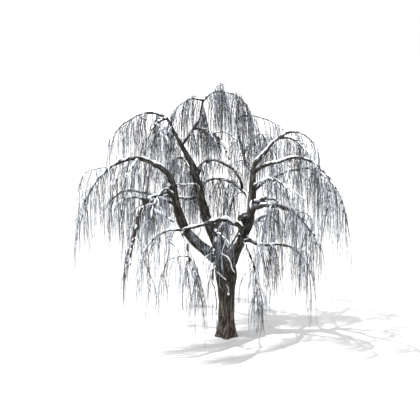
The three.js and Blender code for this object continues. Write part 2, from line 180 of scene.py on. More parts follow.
growth = dict(boughSeed=101, stemSeed=907, seedStep=31, twigSeed=4001, limbSteps=7, stemSteps=5,
              stemShare=0.92, stemTaper=0.26, gnarl=7, wander=620, nod=0.7, nodding=500, hang=0.35)


def seeded(seed, multiplier=16807, modulus=2147483647):
    state = seed

    def draw():
        nonlocal state
        state = state * multiplier % modulus
        return state / modulus

    return draw


# One line, or many at once when the feet, headings, pitches and lengths come as columns. A heading
# is one value, or two where it turns along the line.
def grow(foot, heading, pitch, length, phase, steps, bend=1.0, gnarl=growth["gnarl"]):
    first, last = heading if isinstance(heading, tuple) else (heading, heading)
    t = (np.arange(steps) + 0.5) / steps
    wander = gnarl * np.sin(np.radians(phase + growth["wander"] * t))
    nod = growth["nod"] * gnarl * np.cos(np.radians(phase + growth["nodding"] * t))
    turn = np.radians(first + (last - first) * t + wander)
    tilt = np.radians(pitch[0] + (pitch[1] - pitch[0]) * t**bend + nod)
    step = np.stack([np.cos(turn) * np.cos(tilt), np.sin(turn) * np.cos(tilt), np.sin(tilt)], -1)
    step = step * (np.asarray(length) / steps)[..., None]
    start = np.broadcast_to(np.asarray(foot)[..., None, :], step.shape[:-2] + (1, 3))
    return np.concatenate([start, start + np.cumsum(step, -2)], -2)


# Points at places along some rows of many lines
def pointsOn(lines, rows, places):
    whole = np.floor(places).astype(int)
    part = (places - whole)[..., None]
    return lines[rows, whole] * (1 - part) + lines[rows, whole + 1] * part


# The point at a share of one line's length, or just before its end
def pointAt(line, share, end=0.9999):
    return pointsOn(line[None], 0, np.minimum(share, end) * (len(line) - 1))


# A rounded line through the same points
def smoothLine(points, parts):
    padded = np.vstack([2 * points[0] - points[1], points, 2 * points[-1] - points[-2]])
    a, b, c, d = padded[:-3, None], padded[1:-2, None], padded[2:-1, None], padded[3:, None]
    t = (np.arange(parts) / parts)[:, None]
    curve = 2 * b + (c - a) * t + (2 * a - 5 * b + 4 * c - d) * t**2 + (3 * b - a - 3 * c + d) * t**3
    return np.vstack([curve.reshape(-1, 3) / 2, points[-1]])


# A value between the given ones, at a share of the way along them
def valueAt(values, shares):
    return np.interp(shares, np.linspace(0, 1, len(values)), values)


# Points of a path at places between the known ones
def spotsAt(places, known, path):
    return np.stack([np.interp(places, known, column) for column in path.T], -1)


# How far along a path each of its points lies
def travelAlong(path):
    return np.concatenate([[0], np.cumsum(np.linalg.norm(np.diff(path, axis=0), axis=1))])


def pathLength(path):
    return np.linalg.norm(np.diff(path, axis=0), axis=1).sum()


def unit(vectors):
    return vectors / np.linalg.norm(vectors, axis=-1, keepdims=True)


# From 0 at the low value to 1 at the high one, level at both
def ease(value, low=0, high=1):
    part = np.clip((value - low) / (high - low), 0, 1)
    return part * part * (3 - 2 * part)


# From nothing or little at both ends to full in the middle
def rounded(first, last, count, power):
    return np.sin(np.pi * np.linspace(first, last, count)) ** power


def trunkRadius(z):
    share, low, high = trunk["narrowing"]
    endShare, endLow = trunk["endNarrowing"]
    crown = (1 - share * ease(z, low, high)) * (1 - endShare * ease(z, endLow, trunk["top"]))
    flare = trunk["flare"] * np.exp(-z / trunk["flareFade"])
    return (trunk["waist"] + flare + trunk["swell"] * ease(z, *trunk["swellAt"])) * crown


def trunkCentre(z):
    sway = np.sin(z / trunk["rise"])
    lean = trunk["stubLean"] * np.maximum(z - trunk["fork"], 0) / (trunk["top"] - trunk["fork"])
    return np.stack([trunk["leanX"] * sway - lean, trunk["leanY"] * sway, z], -1)


trunkHeights = np.array([*trunk["rings"], trunk["fork"], *trunk["stubRings"], trunk["top"]])
lines = {"trunk": trunkCentre(trunkHeights)}
radii = {"trunk": trunkRadius(trunkHeights)}
carrierOf = {}
for carrier, boughs in boughsOn.items():
    for name, rule in boughs.items():
        random = seeded(growth["boughSeed"] + growth["seedStep"] * len(lines))
        foot = pointAt(lines[carrier], rule["at"])
        lines[name] = grow(foot, rule["heading"], rule["pitch"], rule["length"], 360 * random(),
                           growth["limbSteps"], rule.get("bend", 1))
        radii[name] = np.linspace(*rule["radius"], growth["limbSteps"] + 1)
        carrierOf[name] = carrier
boughOf = {}
for i, (name, rule) in enumerate(curtains.items()):
    bough = rule.get("bough", name.replace("curtain", "bough"))
    random = seeded(growth["stemSeed"] + growth["seedStep"] * i)
    lines[name] = grow(lines[bough][-1], rule["heading"], rule["pitch"], rule["length"], 360 * random(),
                       growth["stemSteps"], rule.get("bend", 1))
    start = growth["stemShare"] * radii[bough][-1]
    radii[name] = np.linspace(start, growth["stemTaper"] * start, growth["stemSteps"] + 1)
    boughOf[name] = bough
tableSize = 32
noiseTable = np.random.default_rng(7).random((tableSize, tableSize, tableSize))


# Soft random heights between 0 and 1 at points in space
def noiseAt(points):
    cell = np.floor(points).astype(int)
    part = ease(points - cell)
    total = 0
    for corner in itertools.product((0, 1), repeat=3):
        weight = np.prod(np.where(corner, part, 1 - part), -1)
        total = total + weight * noiseTable[tuple(((cell + corner) % tableSize).T)]
    return total


# The boughs and stems are more crooked than the solids: their lines wander by a few centimetres, but
# not at their ends, and they have knots. The three limbs are only thicker, by their bark.
kink = dict(width=0.34, least=0.022, share=0.42, ends=0.6, parts=6, knotWidth=0.28, slim=0.82, knot=0.42,
            limbBark=0.1)


def kinked(curve, size):
    place = curve / kink["width"]
    offset = np.stack([noiseAt(place + 9 * axis) for axis in range(3)], -1) - 0.5
    free = rounded(0, 1, len(curve), kink["ends"])
    return curve + 2 * offset * (free * (kink["least"] + kink["share"] * size))[:, None]


# How much thicker or thinner a kinked curve is at each point
def knotting(curve):
    return kink["slim"] + kink["knot"] * noiseAt(curve / kink["knotWidth"] + 31)


curves = {name: smoothLine(line, kink["parts"]) for name, line in lines.items()}
curveRadii = {name: valueAt(r, np.linspace(0, 1, len(curves[name]))) for name, r in radii.items()}
for name in curves:
    if name in boughsOn["trunk"]:
        curveRadii[name] *= 1 + kink["limbBark"]
    elif name != "trunk":
        curves[name] = kinked(curves[name], radii[name].mean())
        curveRadii[name] *= knotting(curves[name])
print("grown:", len(carrierOf), "boughs and", len(boughOf), "stems")


# Selecting, joining, covering and reading pieces
def selectNone():
    bpy.ops.object.select_all(action="DESELECT")
    bpy.context.view_layer.objects.active = None


def selectOnly(*pieces):
    bpy.ops.object.select_all(action="DESELECT")
    for piece in pieces:
        piece.select_set(True)
    bpy.context.view_layer.objects.active = pieces[0]


def applyModifier(piece, kind, **settings):
    modifier = piece.modifiers.new(kind.title(), kind)
    for key, value in settings.items():
        setattr(modifier, key, value)
    selectOnly(piece)
    bpy.ops.object.modifier_apply(modifier=modifier.name)


def joinPieces(name, pieces):
    selectOnly(*pieces)
    if len(pieces) > 1:
        bpy.ops.object.join()
    piece = bpy.context.view_layer.objects.active
    piece.name = name
    return piece


def coverIn(piece, material):
    piece.data.materials.clear()
    piece.data.materials.append(material)
    selectOnly(piece)
    bpy.ops.object.shade_smooth()


def triangleCount(piece):
    piece.data.calc_loop_triangles()
    return len(piece.data.loop_triangles)


def vertexArray(piece):
    flat = np.empty(len(piece.data.vertices) * 3)
    piece.data.vertices.foreach_get("co", flat)
    return flat.reshape(-1, 3)


def setVertices(piece, points):
    piece.data.vertices.foreach_set("co", np.ascontiguousarray(points, np.float32).ravel())
    piece.data.update()


def setAttribute(piece, name, values):
    kind, field = ("FLOAT_VECTOR", "vector") if values.ndim == 2 else ("FLOAT", "value")
    attribute = piece.data.attributes.new(name, kind, "POINT")
    attribute.data.foreach_set(field, np.ascontiguousarray(values, np.float32).ravel())


# A mesh from its points and from lists of faces that have the same number of corners
def meshFromArrays(name, points, faceLists):
    faceLists = [faces for faces in faceLists if len(faces)]
    mesh = bpy.data.meshes.new(name)
    corners = np.concatenate([faces.ravel() for faces in faceLists]).astype(np.int32)
    counts = np.concatenate([np.full(len(faces), faces.shape[1]) for faces in faceLists]).astype(np.int32)
    mesh.vertices.add(len(points))
    mesh.vertices.foreach_set("co", np.ascontiguousarray(points, np.float32).ravel())
    mesh.loops.add(len(corners))
    mesh.loops.foreach_set("vertex_index", corners)
    mesh.polygons.add(len(counts))
    mesh.polygons.foreach_set("loop_start", np.concatenate([[0], np.cumsum(counts)[:-1]]).astype(np.int32))
    mesh.polygons.foreach_set("loop_total", counts)
    mesh.update(calc_edges=True)
    mesh.validate()
    mesh.polygons.foreach_set("use_smooth", np.ones(len(counts), bool))
    piece = bpy.data.objects.new(name, mesh)
    bpy.context.scene.collection.objects.link(piece)
    return piece


# The quads between rings of points that follow each other
def ringQuads(rings, sides):
    here = np.arange(sides)
    after = (here + 1) % sides
    rows = (np.arange(rings - 1) * sides)[:, None]
    return np.stack([rows + here, rows + sides + here, rows + sides + after, rows + after], -1).reshape(-1, 4)


# Tubes round many lines of the same number of points, closed at the foot and pointed at the tip
def tubes(paths, sizes, sides):
    count, length = paths.shape[:2]
    along = unit(np.gradient(paths, axis=1))
    straight = 1e-3 * np.cross(along[:, 0], [0.3, 0.5, 0.81])  # an axis for a line that doesn't bend
    bendAxis = unit(np.cross(along[:, 0], along[:, -1]) + straight)[:, None]
    side = unit(np.cross(along, np.cross(bendAxis, along)))
    over = np.cross(side, along)
    angle = 2 * np.pi * np.arange(sides) / sides
    ring = side[:, :-1, None] * np.cos(angle)[:, None] + over[:, :-1, None] * np.sin(angle)[:, None]
    points = paths[:, :-1, None] + ring * sizes[:, :-1, None, None]
    points = np.concatenate([points.reshape(count, -1, 3), paths[:, -1:]], 1)
    first = np.arange(count)[:, None] * points.shape[1]
    quads = ringQuads(length - 1, sides)[None]
    here = np.arange(sides)
    last = (length - 2) * sides
    tips = np.stack([last + here, np.full(sides, last + sides), last + (here + 1) % sides], -1)[None]
    caps = here[None, None]
    faces = [(first[:, :, None] + part).reshape(-1, part.shape[-1]) for part in (quads, tips, caps)]
    return points.reshape(-1, 3), faces


class Heap:  # tubes of one kind, gathered until they become one joined mesh
    def __init__(self):
        self.points, self.faces, self.total = [], {}, 0

    def add(self, paths, sizes, sides):
        if not len(paths):
            return
        points, faceLists = tubes(paths, sizes, sides)
        for faces in faceLists:
            self.faces.setdefault(faces.shape[1], []).append(faces + self.total)
        self.points.append(points)
        self.total += len(points)

    def piece(self, name):
        faceLists = [np.concatenate(faces) for faces in self.faces.values()]
        return meshFromArrays(name, np.concatenate(self.points), faceLists)


# Materials: bark, twigs and snow
surface = dict(shine=0.25, bump=0.7, grainDetail=5, noiseRoughness=0.6)


def newMaterial(name, roughness, bumpScale, bumpDistance, coordinates=None):
    material = bpy.data.materials.new(name)
    material.use_nodes = True
    tree = material.node_tree
    shader = tree.nodes["Principled BSDF"]
    shader.inputs["Roughness"].default_value = roughness
    shader.inputs["Specular IOR Level"].default_value = surface["shine"]
    if coordinates:
        place = attributeNode(tree, coordinates).outputs["Vector"]
    else:
        place = tree.nodes.new("ShaderNodeTexCoord").outputs["Object"]
    grain = noiseNode(tree, place, bumpScale, surface["grainDetail"])
    bump = tree.nodes.new("ShaderNodeBump")
    bump.inputs["Strength"].default_value = surface["bump"]
    bump.inputs["Distance"].default_value = bumpDistance
    tree.links.new(grain, bump.inputs["Height"])
    tree.links.new(bump.outputs["Normal"], shader.inputs["Normal"])
    return material, tree, shader, place


def noiseNode(tree, place, scale, detail):
    mapping = tree.nodes.new("ShaderNodeMapping")
    mapping.inputs["Scale"].default_value = scale
    tree.links.new(place, mapping.inputs["Vector"])
    noise = tree.nodes.new("ShaderNodeTexNoise")
    noise.inputs["Scale"].default_value = 1
    noise.inputs["Detail"].default_value = detail
    noise.inputs["Roughness"].default_value = surface["noiseRoughness"]
    tree.links.new(mapping.outputs["Vector"], noise.inputs["Vector"])
    return noise.outputs["Fac"]


def rampNode(tree, factor, stops):
    ramp = tree.nodes.new("ShaderNodeValToRGB")
    elements = ramp.color_ramp.elements
    while len(elements) < len(stops):
        elements.new(0.5)
    for element, (position, colour) in zip(elements, stops):
        element.position = position
        element.color = (*colour, 1)
    tree.links.new(factor, ramp.inputs["Fac"])
    return ramp.outputs["Color"]


def mixNode(tree, factor, first, second, blend="MIX"):
    mix = tree.nodes.new("ShaderNodeMix")
    mix.data_type = "RGBA"
    mix.blend_type = blend
    for name, kind, value in (("Factor", "VALUE", factor), ("A", "RGBA", first), ("B", "RGBA", second)):
        target = [s for s in mix.inputs if s.name == name and s.type == kind][0]
        if isinstance(value, bpy.types.NodeSocket):
            tree.links.new(value, target)
        else:
            target.default_value = value if kind == "VALUE" else (*value, 1)
    return [s for s in mix.outputs if s.type == "RGBA"][0]


def attributeNode(tree, name):
    node = tree.nodes.new("ShaderNodeAttribute")
    node.attribute_name = name
    return node


# The bark's plates and pale streaks, with its cracks painted near black: partly the furrows' own darker bark,
# partly painted shade in them. Warmer towards the ground, with rime on its high parts
barkLook = dict(roughness=0.88, grain=(55, 55, 12), bump=0.012, crack=(0.006, 0.0055, 0.005),
                body=(0.021, 0.019, 0.017), ridge=(0.068, 0.061, 0.052), streaks=(16, 16, 2.2),
                pale=(0.15, 0.134, 0.112), warm=(2.05, 1.94, 1.76), warmFrom=3.2, warmTo=0.4,
                rime=(0.5, 0.55, 0.64))


def barkMaterial():
    look = barkLook
    material, tree, shader, grain = newMaterial("furrowedBark", look["roughness"], look["grain"],
                                                look["bump"], "grain")
    # The crack stop's near-black colour is partly painted shade in the cracks
    plates = [(0.1, look["crack"]), (0.55, look["body"]), (0.95, look["ridge"])]
    colours = rampNode(tree, attributeNode(tree, "relief").outputs["Fac"], plates)
    streaks = noiseNode(tree, grain, look["streaks"], 6)
    mask = rampNode(tree, streaks, [(0.5, (0, 0, 0)), (0.72, (1, 1, 1))])
    colours = mixNode(tree, mask, colours, look["pale"])
    split = tree.nodes.new("ShaderNodeSeparateXYZ")
    tree.links.new(tree.nodes.new("ShaderNodeTexCoord").outputs["Object"], split.inputs["Vector"])
    low = tree.nodes.new("ShaderNodeMapRange")
    low.inputs["From Min"].default_value = look["warmFrom"]
    low.inputs["From Max"].default_value = look["warmTo"]
    tree.links.new(split.outputs["Z"], low.inputs["Value"])
    warmed = mixNode(tree, 1.0, colours, look["warm"], "MULTIPLY")
    colours = mixNode(tree, low.outputs["Result"], colours, warmed)
    colours = mixNode(tree, attributeNode(tree, "rime").outputs["Fac"], colours, look["rime"])
    tree.links.new(colours, shader.inputs["Base Color"])
    return material


# A material whose colour wanders between the stops of a ramp
def mottledMaterial(name, stops, roughness, grain, bump, mottle, detail):
    material, tree, shader, place = newMaterial(name, roughness, grain, bump)
    tone = noiseNode(tree, place, mottle, detail)
    tree.links.new(rampNode(tree, tone, stops), shader.inputs["Base Color"])
    return material


twigLook = dict(roughness=0.8, grain=(90, 90, 40), bump=0.002, mottle=(7, 7, 3), detail=4)
snowLook = dict(roughness=0.55, grain=(70, 70, 70), bump=0.006, mottle=(6, 6, 6), detail=5)
twigStops = {
    "dark": [(0.35, (0.02, 0.018, 0.017)), (0.7, (0.06, 0.052, 0.046))],
    "grey": [(0.35, (0.07, 0.068, 0.07)), (0.7, (0.17, 0.165, 0.165))],
    "rimed": [(0.35, (0.32, 0.37, 0.45)), (0.7, (0.6, 0.66, 0.75))],
}
# The snow's whiteness is its own; its blue tint is painted shade, and it shows where the snow lies in shade
snowStopsBluedForShade = [(0.3, (0.8, 0.85, 0.93)), (0.65, (0.93, 0.95, 0.98))]
bark = barkMaterial()
snow = mottledMaterial("lyingSnow", snowStopsBluedForShade, **snowLook)
twigColours = {kind: mottledMaterial(kind + "Twigs", stops, **twigLook) for kind, stops in twigStops.items()}


# The wood's own coordinates: how far along a limb and round it each point lies, and how much each
# limb counts there. The points are taken in batches.
def woodCoordinates(points, names, blend=0.03, batch=8000):
    distances, grains = [], []
    for name in names:
        line, sizes = curves[name], curveRadii[name]
        start, step = line[:-1], np.diff(line, axis=0)
        lengths = np.linalg.norm(step, axis=1)
        travel = travelAlong(line)
        along = step / lengths[:, None]
        across = unit(np.cross(along, np.cross([0.2, 1, 0.1], along)))
        best = np.empty(len(points), int)
        for low in range(0, len(points), batch):
            part = points[low:low + batch, None] - start
            share = np.clip((part * along).sum(-1), 0, lengths)
            best[low:low + batch] = np.argmin(np.linalg.norm(part - share[..., None] * along, axis=-1), 1)
        offset = points - start[best]
        share = np.clip((offset * along[best]).sum(-1), 0, lengths[best])
        radial = offset - share[:, None] * along[best]
        travelled = travel[best] + share
        size = np.interp(travelled, travel, sizes)
        distances.append(np.linalg.norm(radial, axis=1) - size)
        over = np.cross(along[best], across[best])
        grains.append(np.stack([(radial * across[best]).sum(-1), (radial * over).sum(-1), travelled], -1))
    distances, grains = np.array(distances), np.array(grains)
    weights = np.exp(-(distances - distances.min(0)) / blend)
    return weights / weights.sum(0), grains


# Cracks between long plates of bark, from 0 in a crack to 1 on a plate. What has the relief "level"
# stays where it is when the cracks are pressed in.
cracks = dict(stretch=(1, 1, 0.2), twist=0.9, twistScale=0.45, fineScale=(2.1, 2.1, 1.6), deep=0.75,
              fine=0.4, level=0.75)


def barkPattern(grain, spacing, offset):
    place = grain / spacing * cracks["stretch"] + offset
    place = place + cracks["twist"] * noiseAt(place * cracks["twistScale"] + 5)[:, None] * (1, 1, 0)
    crack = 1 - np.abs(2 * noiseAt(place) - 1)
    fine = 1 - np.abs(2 * noiseAt(place * cracks["fineScale"] + 11) - 1)
    return 1 - np.clip(cracks["deep"] * crack**1.6 + cracks["fine"] * fine**2, 0, 1)


# Rime clings where the wood faces up, a little left and forward, more of it higher up, and in a patch
# on the left limb, whose spots are given across and up
rimeShape = dict(facing=(-0.25, -0.3, 0.92), least=0.42, height=(2.6, 5.1), strength=0.5, reach=0.17,
                 spots=((-1.6, 5.35), (-1.45, 5.1), (-1.25, 4.9), (-1.05, 4.7), (-0.85, 4.6)))
barkShape = dict(spacing=0.105, depth=0.03, swelling=0.05)


def rimeOn(points, normals):
    facing = normals @ np.array(rimeShape["facing"])
    patch = noiseAt(points * 4.6 + 8) * 0.45 + noiseAt(points * (21, 21, 9) + 3) * 0.55
    foot, top = rimeShape["height"]
    height = np.clip((points[:, 2] - foot) / (top - foot), 0, 1)
    rime = np.clip((facing - rimeShape["least"]) * 2, 0, 1) * np.clip((patch - 0.47) * 9, 0, 1) * height
    for across, up in rimeShape["spots"]:
        near = 1.3 - np.hypot(points[:, 0] - across, points[:, 2] - up) / rimeShape["reach"]
        rime = np.maximum(rime, np.clip(near, 0, 1) * np.clip((patch - 0.36) * 6, 0, 1))
    return rimeShape["strength"] * rime


# Cracks and swellings pressed into a piece of wood, its coordinates kept for the material
def addBark(piece, names, spacing, depth, swelling):
    points = vertexArray(piece)
    weights, grains = woodCoordinates(points, names)
    relief = sum(w * barkPattern(g, spacing, 3.7 * i) for i, (w, g) in enumerate(zip(weights, grains)))
    swell = noiseAt(points / (spacing * 4) + 2) - 0.5
    normals = np.empty(len(points) * 3)
    piece.data.vertices.foreach_get("normal", normals)
    normals = normals.reshape(-1, 3)
    press = depth * (relief - cracks["level"]) + swelling * swell
    setVertices(piece, points + normals * press[:, None])
    nearest = np.argmax(weights, 0)
    setAttribute(piece, "relief", relief)
    setAttribute(piece, "grain", grains[nearest, np.arange(len(points))] + nearest[:, None] * 5.0)
    setAttribute(piece, "rime", rimeOn(points, normals))
    coverIn(piece, bark)


# Trunk: a ring drawn up from below the ground, with its root ridges
def trunkMesh(sides=64, below=-0.12, rings=37):
    selectNone()
    heights = np.concatenate([[below], np.linspace(0, trunk["top"], rings)])
    bpy.ops.mesh.primitive_circle_add(vertices=sides, radius=float(trunkRadius(heights[0])),
                                      fill_type="NGON", location=(0, 0, float(heights[0])))
    piece = bpy.context.object
    bpy.ops.object.transform_apply(location=True)
    bpy.ops.object.mode_set(mode="EDIT")
    for here, above in zip(heights, heights[1:]):
        move = trunkCentre(above) - trunkCentre(here)
        bpy.ops.mesh.extrude_region_move(TRANSFORM_OT_translate={"value": move})
        grown = float(trunkRadius(above) / trunkRadius(here))
        bpy.ops.transform.resize(value=(grown, grown, 1), center_override=trunkCentre(above))
    bpy.ops.mesh.select_all(action="SELECT")
    bpy.ops.mesh.normals_make_consistent(inside=False)
    bpy.ops.object.mode_set(mode="OBJECT")
    points = vertexArray(piece)
    angle = math.radians(trunk["ridgeTurn"]) - np.arctan2(points[:, 1], points[:, 0])
    ridge = np.cos(trunk["ridges"] * angle + trunk["ridgePhase"]) + trunk["oval"] * np.cos(2 * angle)
    factor = 1 + trunk["ridgeDepth"] * ridge * np.exp(-points[:, 2] / (2 * trunk["flareFade"]))
    points[:, :2] *= factor[:, None]
    setVertices(piece, points)
    return piece


# A limb or bough: a curve with its thickness at each point, made a mesh, with a collar at its foot
def limbMesh(name, sides, collar, collarReach=1.6):
    line, sizes = curves[name], curveRadii[name].copy()
    sizes *= 1 + collar * np.exp(-travelAlong(line) / (collarReach * sizes[0]))
    selectNone()
    bpy.ops.curve.primitive_nurbs_path_add()
    piece = bpy.context.object
    piece.name = name + "_wood"
    shape = piece.data
    shape.splines.clear()
    spline = shape.splines.new("POLY")
    spline.points.add(len(line) - 1)
    spline.points.foreach_set("co", np.column_stack([line, np.ones(len(line))]).ravel())
    spline.points.foreach_set("radius", sizes)
    shape.bevel_depth = 1
    shape.bevel_resolution = sides // 4 - 1
    shape.use_fill_caps = True
    shape.twist_mode = "MINIMUM"
    selectOnly(piece)
    bpy.ops.object.convert(target="MESH")
    piece = bpy.context.object
    bpy.ops.object.mode_set(mode="EDIT")
    bpy.ops.mesh.select_all(action="SELECT")
    bpy.ops.mesh.remove_doubles(threshold=0.0005)
    bpy.ops.mesh.normals_make_consistent(inside=False)
    bpy.ops.object.mode_set(mode="OBJECT")
    return piece


# Something round on a limb: the share of the limb's length, the heading and pitch of the side that
# it lies on, and its size
def lump(on, at, side, size):
    heading, pitch = (math.radians(value) for value in side)
    level = math.cos(pitch)
    out = np.array([level * math.cos(heading), level * math.sin(heading), math.sin(pitch)])
    spot = pointAt(curves[on], at) + out * valueAt(curveRadii[on], at)
    selectNone()
    bpy.ops.mesh.primitive_ico_sphere_add(subdivisions=3, radius=1, location=spot, scale=size)
    piece = bpy.context.object
    bpy.ops.object.transform_apply(location=True, scale=True)
    points = vertexArray(piece)
    setVertices(piece, spot + (points - spot) * (0.7 + 0.6 * noiseAt(points * 11))[:, None])
    return piece


# Burls and knobs on the limbs and boughs
knots = {
    "right_burl": dict(on="right_limb", at=0.52, side=(190, 10), size=(0.3, 0.19, 0.3)),
    "centre_knob": dict(on="centre_limb", at=0.98, side=(0, 10), size=(0.15, 0.12, 0.16)),
    "left_knob": dict(on="left_limb", at=0.93, side=(200, 10), size=(0.16, 0.14, 0.2)),
    "middle_knob": dict(on="middle_bough", at=0.97, side=(200, -30), size=(0.18, 0.1, 0.11)),
    "left_elbow": dict(on="low_left_bough", at=0.97, side=(200, 40), size=(0.12, 0.1, 0.1)),
    "mid_right_web": dict(on="mid_right_bough", at=0.36, side=(90, 84), size=(0.26, 0.1, 0.13)),
}


def knotsOn(*names):
    return [lump(**rule) for rule in knots.values() if rule["on"] in names]


# The trunk, the limbs and their knots become one skin, cut flat at the ground
forkShape = dict(voxel=0.0222, smoothing=6, limbSides=24, collar=0.25)
limbNames = list(boughsOn["trunk"])
limbs = [limbMesh(name, forkShape["limbSides"], forkShape["collar"]) for name in limbNames]
wood = joinPieces("trunk_and_limbs", [trunkMesh()] + limbs + knotsOn(*limbNames))
applyModifier(wood, "REMESH", mode="VOXEL", voxel_size=forkShape["voxel"])
applyModifier(wood, "SMOOTH", factor=0.5, iterations=forkShape["smoothing"])
addBark(wood, ["trunk", *limbNames], **barkShape)
bpy.ops.object.mode_set(mode="EDIT")
bpy.ops.mesh.select_all(action="SELECT")
bpy.ops.mesh.bisect(plane_co=(0, 0, 0), plane_no=(0, 0, 1), clear_inner=True, use_fill=True)
bpy.ops.object.mode_set(mode="OBJECT")
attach(wood, "root")
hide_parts("trunk", *limbNames)
print("trunk and limbs:", len(wood.data.polygons), "faces")

boughShape = dict(sides=20, collar=0.5)
boughBark = dict(spacing=0.06, depth=0.012, swelling=0.035)
sectors = {
    "left": ["left_limb"],
    "centre": ["centre_limb", "upper_left_bough", "top_bough"],
    "right": ["right_limb", "front_bough", "behind_bough", "centre_back_bough"],
}
for sector, carriers in sectors.items():
    names = [name for carrier in carriers for name in boughsOn[carrier]]
    made = []
    for name in names:
        for piece in [limbMesh(name, boughShape["sides"], boughShape["collar"])] + knotsOn(name):
            applyModifier(piece, "SUBSURF", levels=1, render_levels=1, subdivision_type="SIMPLE")
            addBark(piece, [name], **boughBark)
            made.append(piece)
    boughs = joinPieces(sector + "_boughs", made)
    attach(boughs, "root")
    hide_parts(*names)
    print(boughs.name, len(boughs.data.polygons), "faces")

# Curtains: side branches on each bough and stem, sprays on all of these, whips on the sprays and
# side shoots on the whips. The values named "on" say from where to where along its carrier each kind
# grows, and for sprays also how much longer they are there.
branchShape = dict(perMetre=2.0, length=(0.5, 1.3), turn=(30, 90), lift=(0, 38), droop=-80, reach=1.15,
                   shorter=0.4, share=0.42, thickest=0.03, thinnest=0.011, tip=0.3, parts=2, steps=9,
                   gnarl=15, stemSwell=1.2, stemSnow=0.035, snow=0.024, snowy=0.7, sides=6,
                   onBough=(0.2, 0.97), onStem=(0.05, 0.75))
sprayShape = dict(mix=(0.37, 0.34, 0.29), perMetre=13, length=(0.14, 0.42), turn=(20, 90), lift=(-30, 15),
                  droop=-82, radius=(0.007, 0.011), share=0.8, tip=0.5, steps=4, gnarl=12, snow=0.009,
                  snowy=0.3, sides=4, onStem=(0.05, 1.0, 1.15), onBough=(0.35, 0.98, 1.0),
                  onBranch=(0.15, 1.0, 0.8), onBranchlet=(0.15, 1.0, 0.7))
whipShape = dict(perMetre=17, length=(0.55, 1.4), spread=150, pitch=(-52, -92), bend=0.3, wave=(1.5, 7.5),
                 radius=(0.006, 0.0145), tip=0.5, steps=6, lowest=0.45, own=0.4, sides=3, onSpray=(0.08, 1))
shootShape = dict(perWhip=0.9, length=(0.2, 0.75), pitch=(-62, -91), bend=0.5, share=0.6, tip=0.5,
                  steps=2, onWhip=(0.25, 0.9))
stemSides = 8
clearOfWood = 0.03
reachOver = 0.02  # how far past the solids' box a twig may go, as a share of the box
margin = reachOver * (np.array(cadHigh) - np.array(cadLow))
lowLimit, highLimit = np.array(cadLow) - margin, np.array(cadHigh) + margin
lowLimit[2] = whipShape["lowest"]

stemNames = list(curtains)
squeeze = np.array([1, 1, growth["hang"]])
segmentStarts = np.concatenate([lines[n][:-1] for n in stemNames]) * squeeze
segmentSteps = np.concatenate([np.diff(lines[n], axis=0) for n in stemNames]) * squeeze
segmentOwner = np.repeat(np.arange(len(stemNames)), growth["stemSteps"])


# Which stem each point is nearest to, with height counting less than width
def ownerOf(points):
    flat = points.reshape(-1, 3) * squeeze
    part = flat[:, None] - segmentStarts
    share = np.clip((part * segmentSteps).sum(-1) / (segmentSteps**2).sum(-1), 0, 1)
    distance = ((part - share[..., None] * segmentSteps) ** 2).sum(-1)
    return segmentOwner[np.argmin(distance, 1)].reshape(points.shape[:-1])


# The trunk, limbs and boughs as plain tubes, to find which twigs touch them
def woodTree(sides=8):
    points, faces, total = [], [], 0
    for name in ["trunk", *carrierOf]:
        spots, faceLists = tubes(curves[name][None], curveRadii[name][None], sides)
        points.append(spots)
        faces += [tuple(face + total) for faceList in faceLists for face in faceList]
        total += len(spots)
    return BVHTree.FromPolygons([tuple(spot) for spot in np.concatenate(points)], faces)


woodShapes = woodTree()


def touchesWood(path):
    return any(woodShapes.find_nearest(Vector(p), clearOfWood)[0] is not None for p in path[2:])


# From the side that the photograph shows, few twigs hang before these limbs. A front map holds, for
# the small cells of that side, how far forward a limb lies there.
frontShape = dict(cell=0.05, across=9.0, up=14.0, below=1.0, tilt=12, keep=0.2, trunkFrom=2.2, step=0.03,
                  thin=0.04, spread=13, branchlets=("front_trail",),
                  limbs=("trunk", "left_limb", "centre_limb", "right_limb", "upper_left_bough", "front_bough",
                         "front_arm", "left_bough", "low_left_bough", "mid_right_bough", "right_bough",
                         "low_right_bough", "middle_bough", "behind_bough", "low_left_curtain",
                         "inner_top_bough", "inner_top_curtain"))
tiltCos, tiltSin = math.cos(math.radians(frontShape["tilt"])), math.sin(math.radians(frontShape["tilt"]))


# The cell of each point, and how far forward the point lies
def frontPlace(points):
    across = points[..., 0] + frontShape["across"]
    rise = points[..., 2] * tiltCos + points[..., 1] * tiltSin + frontShape["below"]
    forward = points[..., 2] * tiltSin - points[..., 1] * tiltCos
    cells = np.stack([across, rise], -1) / frontShape["cell"]
    return cells.astype(int), forward


frontCells = (int(2 * frontShape["across"] / frontShape["cell"]),
              int((frontShape["up"] + frontShape["below"]) / frontShape["cell"]))
unseen = -99.0


# Which stretches of each path pass before a limb
def beforeLimb(paths, foremost):
    halves = (paths[:, 1:] + paths[:, :-1]) / 2
    cells, forward = frontPlace(np.stack([halves, paths[:, 1:]], 2))
    cells = np.clip(cells, 0, np.array(frontCells) - 1)
    behind = foremost[cells[..., 0], cells[..., 1]]
    return ((behind > unseen) & (forward > behind)).any(2)


# Paths that would hang before a limb end above it, but for a share of them. It also says which are
# long enough to keep.
def endedAbove(paths, foremost, keep, rng):
    steps = paths.shape[1] - 1
    before = beforeLimb(paths, foremost)
    ends = np.where(before.any(1) & (rng.random(len(paths)) > keep), np.argmax(before, 1), steps)
    places = np.minimum(np.linspace(0, 1, steps + 1) * ends[:, None], steps - 0.001)
    return pointsOn(paths, np.arange(len(paths))[:, None], places), ends > 1


# Which twigs stay in the tree's reach, off the wood and off the ground, and not before a limb but for
# a share of them
def clearOnes(paths, foremost, keep, rng):
    inside = ((paths > lowLimit) & (paths < highLimit)).all((1, 2))
    inside &= ~(beforeLimb(paths, foremost).any(1) & (rng.random(len(paths)) > keep))
    return np.array([k for k in np.flatnonzero(inside) if not touchesWood(paths[k])], int)


def between(rng, limits, count):
    return limits[0] + (limits[1] - limits[0]) * rng.random(count)


def firstHeading(rule):
    return np.ravel(rule["heading"])[0]


